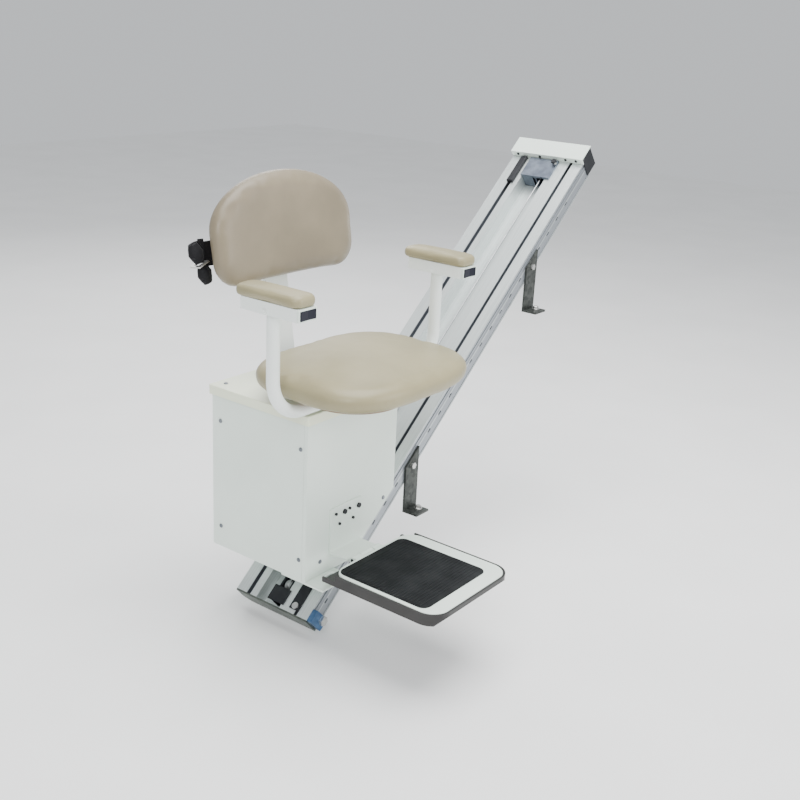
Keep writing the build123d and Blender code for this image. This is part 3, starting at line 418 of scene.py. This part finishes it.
VINYL = make_vinyl("seat_vinyl_grain", (0.262, 0.230, 0.128), (0.308, 0.270, 0.152))
# Painted shade: the back pad's vinyl is a darker copy of the seat's, for its upright face that takes less of the
# light from above.
SHADED_BACK_VINYL = make_vinyl("back_vinyl_grain", (0.185, 0.152, 0.100), (0.222, 0.184, 0.122))
WHITE = make_powder_coat("box_powder_coat", (0.74, 0.83, 0.76), (0.79, 0.88, 0.81))
LID_WHITE = make_powder_coat("lid_powder_coat", (0.82, 0.87, 0.67), (0.86, 0.91, 0.71))
TUBE_WHITE = make_powder_coat("tube_powder_coat", (0.85, 0.90, 0.87), (0.89, 0.94, 0.91), roughness=0.34)
ALUMINIUM = make_extrusion()
GALVANISED = make_galvanised()
ZINC = make_steel("zinc_plate", (0.50, 0.50, 0.49), (0.64, 0.64, 0.62))
STEEL = make_steel("machined_steel_finish", (0.36, 0.37, 0.38), (0.50, 0.51, 0.52), roughness=0.38)
BLACK = make_plastic("black_moulding", (0.006, 0.007, 0.010), (0.014, 0.015, 0.018), gloss=0.3)
PAN_BLACK = make_plastic("pan_moulding", (0.016, 0.015, 0.015), (0.026, 0.025, 0.024),
                         roughness=0.36, grain=500, gloss=0.4)
DARK_SCREW = make_steel("screw_steel", (0.16, 0.18, 0.20), (0.26, 0.28, 0.30), roughness=0.36)
BLUE_STEEL = make_steel("blued_steel", (0.07, 0.14, 0.27), (0.11, 0.21, 0.38), roughness=0.34)
BLOCK_ZINC = make_steel("anchor_zinc", (0.13, 0.15, 0.19), (0.22, 0.25, 0.30), roughness=0.4)
PLATE_GREY = make_steel("end_plate_steel", (0.10, 0.115, 0.10), (0.17, 0.19, 0.17), roughness=0.45)
SWITCH = make_plastic("switch_gloss", (0.005, 0.006, 0.014), (0.010, 0.011, 0.020),
                      roughness=0.3, grain=300, gloss=0.2)
MAT_RUBBER = make_rubber("mat_rubber_dust", (0.006, 0.007, 0.008), (0.015, 0.017, 0.018))
TYRE = make_rubber("wheel_rubber_dust", (0.03, 0.03, 0.03), (0.06, 0.06, 0.06))
WEBBING = make_webbing()
PLYWOOD = make_plywood()
BOARD = make_plastic("board_laminate", (0.02, 0.12, 0.05), (0.03, 0.18, 0.08), roughness=0.35, grain=200)
RED = make_plastic("button_red", (0.42, 0.03, 0.02), (0.52, 0.05, 0.03), roughness=0.35, grain=500)
NYLON = make_plastic("pulley_nylon", (0.34, 0.36, 0.36), (0.44, 0.46, 0.46), roughness=0.5, grain=500)
GREY_CASE = make_plastic("grey_case", (0.12, 0.125, 0.13), (0.18, 0.185, 0.19), roughness=0.5, grain=400)

BY_SLOT = {
    "anodised_aluminium": ALUMINIUM, "galvanised_steel": GALVANISED, "zinc_fasteners": ZINC,
    "dark_plate": PLATE_GREY, "black_plastic": BLACK, "white_paint": WHITE, "lid_paint": LID_WHITE,
    "machined_steel": STEEL, "wheel_rubber": TYRE, "cream_tube": TUBE_WHITE, "beige_vinyl": VINYL,
    "plywood": PLYWOOD, "foot_mat_rubber": MAT_RUBBER, "webbing": WEBBING, "circuit_board": BOARD,
    "switch_black": SWITCH, "red_plastic": RED,
}
SLOT_OF = {part["node"]: part["material_slot"] for part in frame["record"]["subparts"]}
for name, thing in frame["nodes"].items():
    thing.data.materials.clear()
    thing.data.materials.append(BY_SLOT[SLOT_OF[name]])
BY_NODE = {
    "gearbox": GREY_CASE, "motor": GREY_CASE, "lower_end_block": BLUE_STEEL, "obstruction_pan": PAN_BLACK,
    "lower_pulley": NYLON, "upper_pulley": NYLON, "arm_pivot_bolts": TUBE_WHITE,
    "upper_pulley_block": BLOCK_ZINC,
}
for name, finish in BY_NODE.items():
    frame["nodes"][name].data.materials[0] = finish

make_stage()


# ---- mesh helpers ----
def finish_piece(name, shape, body, finish, smooth=True):
    """Turns a bmesh into a piece with its material that rides on a body."""
    bmesh.ops.recalc_face_normals(shape, faces=shape.faces)
    data = bpy.data.meshes.new(name)
    shape.to_mesh(data)
    shape.free()
    piece = bpy.data.objects.new(name, data)
    bpy.context.collection.objects.link(piece)
    data.materials.append(finish)
    for face in data.polygons:
        face.use_smooth = smooth
    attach(piece, body)
    return piece


def apply_modifiers(piece):
    """Replaces a piece's mesh by its evaluated one."""
    graph = bpy.context.evaluated_depsgraph_get()
    done = bpy.data.meshes.new_from_object(piece.evaluated_get(graph))
    piece.modifiers.clear()
    piece.data = done


def add_subdivision(piece):
    """Smooths a piece by one level of subdivision, and keeps the result."""
    smooth = piece.modifiers.new("smooth", "SUBSURF")
    smooth.levels = smooth.render_levels = 1
    apply_modifiers(piece)


def stack_rings(shape, rings):
    """Joins closed rings of points into a closed skin with capped ends."""
    rows = [[shape.verts.new(point) for point in ring] for ring in rings]
    count = len(rows[0])
    for low, high in zip(rows, rows[1:]):
        for i in range(count):
            j = (i + 1) % count
            shape.faces.new((low[i], low[j], high[j], high[i]))
    shape.faces.new(rows[0][::-1])
    shape.faces.new(rows[-1])


def bull_nose(outline, half_x, half_y, thickness, edge, under, crown, steps=7):
    """Rings of a pad lying flat: rounded edges, and a top that rises by crown at its middle."""
    rings = []
    for step in range(2 * steps + 1):
        angle = math.pi * (step / (2 * steps) - 0.5)
        height = math.sin(angle)
        inset = (edge if height > 0 else under) * (1 - math.cos(angle))
        z = thickness / 2 + (thickness / 2) * height
        slim, short = 1 - inset / half_x, 1 - inset / half_y
        rings.append([Vector((x * slim, y * short, z)) for x, y in outline])
    crown_rings = 5
    for step in range(1, crown_rings + 1):
        left = 1 - step / (crown_rings + 1)
        slim, short = (1 - edge / half_x) * left, (1 - edge / half_y) * left
        z = thickness + crown * (1 - left ** 2)
        rings.append([Vector((x * slim, y * short, z)) for x, y in outline])
    return rings


CLOTH_SETTINGS = {
    "quality": 5, "mass": 0.3, "tension_stiffness": 15, "compression_stiffness": 15,
    "bending_stiffness": 0.5, "use_pressure": True, "uniform_pressure_force": 4.0,
}
CLOTH_FRAMES = 20


def swell(piece, cap):
    """Swells a piece by cloth simulation with pressure inside, and moves no point further than cap."""
    start = [vertex.co.copy() for vertex in piece.data.vertices]
    cloth = piece.modifiers.new("cloth", "CLOTH")
    for setting, value in CLOTH_SETTINGS.items():
        setattr(cloth.settings, setting, value)
    cloth.settings.effector_weights.gravity = 0
    scene = bpy.context.scene
    for number in range(1, CLOTH_FRAMES + 1):
        scene.frame_set(number)
    graph = bpy.context.evaluated_depsgraph_get()
    swollen = [vertex.co.copy() for vertex in piece.evaluated_get(graph).data.vertices]
    piece.modifiers.clear()
    for vertex, old, new in zip(piece.data.vertices, start, swollen):
        move = new - old
        if move.length > cap:
            move *= cap / move.length
        vertex.co = old + move
    scene.frame_set(1)


def inflate(piece, voxel, cap, settle=5):
    """Remeshes a pad, swells it by up to cap, and smooths it."""
    remesh = piece.modifiers.new("remesh", "REMESH")
    remesh.mode = "VOXEL"
    remesh.voxel_size = voxel
    apply_modifiers(piece)
    swell(piece, cap)
    smooth = piece.modifiers.new("settle", "SMOOTH")
    smooth.iterations = settle
    smooth.factor = 0.5
    add_subdivision(piece)
    for face in piece.data.polygons:
        face.use_smooth = True


def turned(shape, spot, along, profile, sides):
    """A turned shape from (radius, height) pairs, which stands on a spot and points along a direction."""
    base = Matrix.Translation(spot) @ Vector(along).to_track_quat("Z", "Y").to_matrix().to_4x4()
    rings = []
    for radius, height in profile:
        ring = []
        for i in range(sides):
            angle = 2 * math.pi * i / sides
            ring.append(base @ Vector((radius * math.cos(angle), radius * math.sin(angle), height)))
        rings.append(ring)
    stack_rings(shape, rings)


WASHER_THICKNESS = 1.8 * MM


def hex_bolt(shape, spot, along, across, height, washer=0.0):
    """A hexagonal head with a chamfered top, on a washer when its radius is given."""
    foot = 0.0
    if washer:
        foot = WASHER_THICKNESS
        turned(shape, spot, along, [(washer, 0), (washer, foot - 0.4 * MM), (washer * 0.94, foot)], 28)
    radius = across / 2 / math.cos(math.pi / 6)
    head = [(radius, foot), (radius, foot + height * 0.82), (radius * 0.84, foot + height)]
    turned(shape, spot, along, head, 6)


def pan_screw(shape, spot, along, radius, height):
    """A pan head screw with a dimple in its top."""
    profile = [(radius, 0), (radius, height * 0.45), (radius * 0.86, height * 0.8), (radius * 0.6, height),
               (radius * 0.3, height), (radius * 0.22, height * 0.5)]
    turned(shape, spot, along, profile, 24)


# ---- outlines ----
def superellipse(half_x, half_y, power, count=96):
    """Points round a superellipse, squarer as its power rises."""
    points = []
    for i in range(count):
        angle = 2 * math.pi * i / count
        c, s = math.cos(angle), math.sin(angle)
        x = half_x * math.copysign(abs(c) ** (2 / power), c)
        y = half_y * math.copysign(abs(s) ** (2 / power), s)
        points.append((x, y))
    return points


def round_box(half_x, half_y, radius, steps=12):
    """Points round a rectangle with quarter-circle corners."""
    points = []
    for x, y, start in ((1, 1, 0), (-1, 1, 1), (-1, -1, 2), (1, -1, 3)):
        for i in range(steps + 1):
            angle = (start + i / steps) * math.pi / 2
            points.append((x * (half_x - radius) + radius * math.cos(angle),
                           y * (half_y - radius) + radius * math.sin(angle)))
    return points


# ---- cushions ----
def rest_on(piece, level):
    """Flattens a pad's underside where it rests on its board."""
    for vertex in piece.data.vertices:
        vertex.co.z = max(vertex.co.z, level)


def make_seat_cushion():
    """The seat: a round-cornered pad with a bull nose edge and a crowned top."""
    low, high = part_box("seat_cushion")
    half_x = (high[0] - low[0]) / 2 + 2 * MM
    half_y = (high[1] - low[1]) / 2
    thickness = high[2] - low[2] - 7 * MM
    outline = superellipse(half_x, half_y, power=3.2)
    rings = bull_nose(outline, half_x, half_y, thickness, edge=22 * MM, under=11 * MM, crown=7 * MM)
    shape = bmesh.new()
    stack_rings(shape, rings)
    middle = centre("seat_cushion")
    bmesh.ops.translate(shape, verts=shape.verts, vec=(middle.x, middle.y, low[2] + 1 * MM))
    piece = finish_piece("seat_pad", shape, "seat", VINYL)
    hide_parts("seat_cushion")
    inflate(piece, voxel=5 * MM, cap=5 * MM)
    rest_on(piece, low[2] + 0.2 * MM)


def back_outline(half_x, rise, drop, corner):
    """Points round the backrest: half an ellipse over a rectangle with two round corners."""
    points = []
    arch_steps, corner_steps = 40, 12
    for i in range(arch_steps + 1):
        angle = math.pi * i / arch_steps
        points.append((half_x * math.cos(angle), rise * math.sin(angle)))
    for side, start in ((-1, math.pi), (1, 1.5 * math.pi)):
        for i in range(1, corner_steps + 1) if side < 0 else range(corner_steps):
            angle = start + (math.pi / 2) * i / corner_steps
            points.append((side * (half_x - corner) + corner * math.cos(angle),
                           corner * math.sin(angle) - (drop - corner)))
    return points


def make_back_cushion():
    """The backrest: round top, squarer bottom, gently crowned front."""
    low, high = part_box("backrest_cushion")
    half_x = (high[0] - low[0]) / 2
    bottom, middle, top = BACK_HEIGHTS
    drop = middle - bottom - 3 * MM
    outline = back_outline(half_x, top - middle, drop, corner=56 * MM)
    thickness = BACK_PAD_DEPTH - 5 * MM
    rings = bull_nose(outline, half_x, drop, thickness, edge=14 * MM, under=18 * MM, crown=4 * MM)
    shape = bmesh.new()
    stack_rings(shape, rings)
    for vertex in shape.verts:
        x, up, out = vertex.co
        vertex.co = back_point(x, BACK_PAD_DEPTH - 0.5 * MM - out, middle + up)
    # The darker vinyl here is painted shade; the pad is of the same vinyl as the seat.
    piece = finish_piece("back_pad", shape, "chair", SHADED_BACK_VINYL)
    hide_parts("backrest_cushion")
    inflate(piece, voxel=5 * MM, cap=5 * MM, settle=8)
    board = back_point(0, BACK_PAD_DEPTH - 0.2 * MM, 0)
    for vertex in piece.data.vertices:
        behind = (vertex.co - board).dot(BACK_REAR)
        if behind > 0:
            vertex.co -= BACK_REAR * behind


def make_arm_cushion(side):
    """An armrest pad with a soft edge, on its channel."""
    low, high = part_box(side + "_arm_pad")
    half_x = (high[0] - low[0]) / 2
    half_y = (high[1] - low[1]) / 2
    thickness = high[2] - low[2] - 1 * MM
    outline = round_box(half_x, half_y, radius=18 * MM)
    rings = bull_nose(outline, half_x, half_y, thickness, edge=7 * MM, under=3 * MM, crown=2 * MM, steps=5)
    shape = bmesh.new()
    stack_rings(shape, rings)
    middle = centre(side + "_arm_pad")
    bmesh.ops.translate(shape, verts=shape.verts, vec=(middle.x, middle.y, low[2] + 0.3 * MM))
    piece = finish_piece(side + "_arm_cushion", shape, side + "_arm", VINYL)
    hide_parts(side + "_arm_pad")
    inflate(piece, voxel=3.5 * MM, cap=1.8 * MM, settle=1)
    rest_on(piece, low[2] + 0.1 * MM)


make_seat_cushion()
make_back_cushion()
make_arm_cushion("left")
make_arm_cushion("right")


# ---- foot mat ----
RIB_PITCH = 7.5 * MM
RIB_HEIGHT = 0.9 * MM
RIB_SINK = 0.2 * MM     # how far a rib reaches into the slab
RIB_FOOT, RIB_TOP = 2.2 * MM, 1.4 * MM      # half widths
RIB_MARGIN = 3 * MM


def make_mat():
    """The rubber mat: a slab with raised ribs across it."""
    low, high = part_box("foot_mat")
    middle = centre("foot_mat")
    half_x, half_y = (high[0] - low[0]) / 2, (high[1] - low[1]) / 2
    slab = high[2] - low[2] - RIB_HEIGHT
    shape = bmesh.new()
    rings = []
    for shrink, z in ((1, 0), (1, slab * 0.7), (0.994, slab)):
        rings.append([Vector((middle.x + x * shrink, middle.y + y * shrink, low[2] + z))
                      for x, y in round_box(half_x, half_y, MAT_CORNER_R)])
    stack_rings(shape, rings)
    foot, top = low[2] + slab - RIB_SINK, low[2] + slab + RIB_HEIGHT
    for i in range(2, int(2 * half_y / RIB_PITCH) - 1):
        y = -half_y + i * RIB_PITCH
        into_corner = max(0, abs(y) - (half_y - MAT_CORNER_R)) / MAT_CORNER_R
        reach = half_x - RIB_MARGIN - MAT_CORNER_R * (1 - math.sqrt(1 - into_corner ** 2))
        y += middle.y
        section = ((y - RIB_FOOT, foot), (y - RIB_TOP, top), (y + RIB_TOP, top), (y + RIB_FOOT, foot))
        stack_rings(shape, [[Vector((x, *corner)) for corner in section]
                            for x in (middle.x - reach, middle.x + reach)])
    piece = finish_piece("ribbed_mat", shape, "footrest", MAT_RUBBER, smooth=False)
    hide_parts("foot_mat")


make_mat()


# ---- fasteners left to this scene ----
def make_lag_screws():
    """The lag screws and washers that hold the bracket feet to the treads."""
    feet = [mount for mount in frame["record"]["mounts"] if mount["kind"] == "bolt_pattern"]
    for mount in feet:
        half = mount["dims"]["spacing_y_mm"] * MM / 2
        shape = bmesh.new()
        for side in (-1, 1):
            spot = Vector(mount["pos_m"]) + Vector((0, side * half, TREAD_FOOT_THICKNESS))
            hex_bolt(shape, spot, (0, 0, 1), across=11.5 * MM, height=5.5 * MM, washer=9.5 * MM)
        name = mount["name"].replace("bolts", "lag_screws")
        finish_piece(name, shape, "rail", ZINC, smooth=False)


make_lag_screws()


COVER_LIP = (1320.5 * MM, 9 * MM)       # along the rail, and above its top face
COVER_SCREWS = (-85 * MM, -55 * MM, 20 * MM, 85 * MM)
TENSION_BOLT = (1306 * MM, -30 * MM, 13.1 * MM)     # along, across and above the rail


def make_cover_screws():
    """Small black screws on the upper cover's lip, and the black nut on the tension bolt."""
    along, above = COVER_LIP
    shape = bmesh.new()
    for across in COVER_SCREWS:
        pan_screw(shape, rail_point(along, across, above), -SLOPE_AXIS, radius=3.6 * MM, height=2.2 * MM)
    finish_piece("cover_screws", shape, "rail", BLACK)
    shape = bmesh.new()
    hex_bolt(shape, rail_point(*TENSION_BOLT), RAIL_UP, across=13.5 * MM, height=4 * MM)
    finish_piece("tension_nut", shape, "rail", BLACK, smooth=False)


make_cover_screws()


def make_back_screws():
    """Four screws through the upright into the back board."""
    shape = bmesh.new()
    for x in (-11 * MM, 11 * MM):
        for up in (218 * MM, 345 * MM):
            spot = back_point(x, BACK_PAD_DEPTH + BACK_STACK, up)
            hex_bolt(shape, spot, BACK_REAR, across=10 * MM, height=4 * MM, washer=8 * MM)
    finish_piece("back_screws", shape, "chair", ZINC, smooth=False)


make_back_screws()


def loose_boxes(name):
    """The box of each separate solid in a CAD node, from its own mesh."""
    shape = bmesh.new()
    shape.from_mesh(frame["nodes"][name].data)
    bmesh.ops.remove_doubles(shape, verts=shape.verts, dist=1e-6)
    boxes = []
    left = set(shape.verts)
    while left:
        group = [left.pop()]
        for vertex in group:
            for edge in vertex.link_edges:
                other = edge.other_vert(vertex)
                if other in left:
                    left.remove(other)
                    group.append(other)
        corners = []
        for pick in (min, max):
            corners.append(Vector(pick(vertex.co[axis] for vertex in group) for axis in range(3)))
        boxes.append(corners)
    shape.free()
    return sorted(boxes, key=lambda pair: tuple(round(value, 4) for value in pair[0]))


def make_panel_screws():
    """Pan head screws on the drive box, in the place of the plain ones."""
    middle = (centre("front_panel") + centre("rear_cover")) / 2
    shape = bmesh.new()
    for low, high in loose_boxes("panel_screws"):
        size = high - low
        axis = max(range(3), key=lambda i: abs(size[i] - SCREW_HEAD))
        spot = (low + high) / 2
        along = Vector((0, 0, 0))
        along[axis] = 1.0 if spot[axis] > middle[axis] else -1.0
        outer = high[axis] if along[axis] > 0 else low[axis]
        spot[axis] = outer - 2.2 * MM * along[axis]
        pan_screw(shape, spot, along, radius=4.6 * MM, height=2.3 * MM)
    piece = finish_piece("panel_screw_heads", shape, "carriage", DARK_SCREW)
    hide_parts("panel_screws")


make_panel_screws()


# ---- lap belt ----
def smooth_path(points, steps=8):
    """A smooth line through a few points."""
    padded = [points[0] * 2 - points[1], *points, points[-1] * 2 - points[-2]]
    line = []
    for a, b, c, d in zip(padded, padded[1:], padded[2:], padded[3:]):
        for step in range(steps):
            t = step / steps
            line.append(0.5 * (2 * b + (c - a) * t + (2 * a - 5 * b + 4 * c - d) * t * t
                               + (3 * b - a - 3 * c + d) * t ** 3))
    line.append(points[-1])
    return line


WEBBING_THICKNESS = 1.8 * MM
WEBBING_WIDTH = 49 * MM
HALF_SECTION = ((-0.5, 0.35), (-0.48, 1.0), (-0.44, 0.8), (0, 0.75), (0.44, 0.8), (0.48, 1.0), (0.5, 0.35))
STRAP_REAR = BACK_PAD_DEPTH + 25.5 * MM
STRAP_LEVEL = 260 * MM


def strap(shape, line, width_axis, width):
    """Webbing along a line: a flat band with rounded, slightly thicker edges."""
    rings = []
    for i, point in enumerate(line):
        ahead = line[min(i + 1, len(line) - 1)] - line[max(i - 1, 0)]
        across = (width_axis - ahead * (width_axis.dot(ahead) / ahead.length_squared)).normalized()
        face = ahead.cross(across).normalized() * (WEBBING_THICKNESS / 2)
        ring = []
        for share, fullness in HALF_SECTION:
            ring.append(point + across * width * share + face * fullness)
        for share, fullness in HALF_SECTION[::-1]:
            ring.append(point + across * width * share - face * fullness)
        rings.append(ring)
    stack_rings(shape, rings)


def make_fold(shape, start, end, half_x, half_y):
    """Belt webbing rolled up on itself between two heights of the bundle, fuller in its middle."""
    turns = 2.6
    steps = 72
    thickness = 1.6 * MM
    roll = []
    for i in range(steps + 1):
        angle = 2 * math.pi * turns * i / steps
        size = 1 - 0.7 * i / steps
        roll.append((half_x * size * math.cos(angle), half_y * size * math.sin(angle)))
    rows = []
    for share in (0, 0.04, 0.2, 0.5, 0.8, 0.96, 1):
        fullness = 0.5 + 0.5 * math.sin(math.pi * min(max(share, 0.08), 0.92))
        level = start + (end - start) * share
        rows.append([bundle_point(x * fullness, y * fullness, level) for x, y in roll])
    outer = [[shape.verts.new(point) for point in row] for row in rows]
    inner = []
    for row in rows:
        middle = sum(row, Vector()) / len(row)
        inner.append([shape.verts.new(point + (middle - point).normalized() * thickness) for point in row])
    for a in range(len(rows) - 1):
        for i in range(steps):
            shape.faces.new((outer[a][i], outer[a][i + 1], outer[a + 1][i + 1], outer[a + 1][i]))
            shape.faces.new((inner[a][i], inner[a + 1][i], inner[a + 1][i + 1], inner[a][i + 1]))
        for i in (0, steps):
            shape.faces.new((outer[a][i], outer[a + 1][i], inner[a + 1][i], inner[a][i]))
    for a in (0, len(rows) - 1):
        for i in range(steps):
            shape.faces.new((outer[a][i], inner[a][i], inner[a][i + 1], outer[a][i + 1]))


def make_belt():
    """The stowed lap belt: straps behind the back board, and the near half folded beside the pad."""
    shape = bmesh.new()
    for start, end in ((-20 * MM, BUNDLE[0] + 11 * MM), (20 * MM, 134 * MM)):
        line = [back_point(start + (end - start) * i / 12, STRAP_REAR, STRAP_LEVEL) for i in range(13)]
        strap(shape, line, BACK_UP, WEBBING_WIDTH)
    hang = ((12, -2, 291), (11, -4, 270), (12, -5, 245), (14, -4, 222), (16, -4, 205))
    line = [back_point(BUNDLE[0] + x * MM, STRAP_REAR + rear * MM, up * MM) for x, rear, up in hang]
    strap(shape, smooth_path(line), Vector((1, 0, 0)), 15 * MM)
    make_fold(shape, 5.2 * MM, 44 * MM, 21 * MM, 14.5 * MM)
    make_fold(shape, -3.3 * MM, -40 * MM, 19 * MM, 14.5 * MM)
    piece = finish_piece("belt_straps", shape, "chair", WEBBING)
    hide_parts("belt_webbing")


make_belt()


def make_channel_trims(side):
    """Black edge guards at the rear of an armrest channel."""
    low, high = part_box(side + "_arm_channel")
    thickness = 3.5 * MM
    foot, top = low[2] + 0.5 * MM, high[2] - ARM_WALL - 0.5 * MM
    shape = bmesh.new()
    for start in (low[0] + ARM_WALL, high[0] - ARM_WALL - thickness):
        rings = []
        for past, inset in ((-16 * MM, 0), (-1 * MM, 0), (0.8 * MM, 0.6 * MM)):
            x0, x1 = start + inset, start + thickness - inset
            corners = ((x0, foot), (x1, foot), (x1, top), (x0, top))
            rings.append([Vector((x, high[1] + past, z)) for x, z in corners])
        stack_rings(shape, rings)
    finish_piece(side + "_channel_trims", shape, side + "_arm", BLACK, smooth=False)


make_channel_trims("left")
make_channel_trims("right")
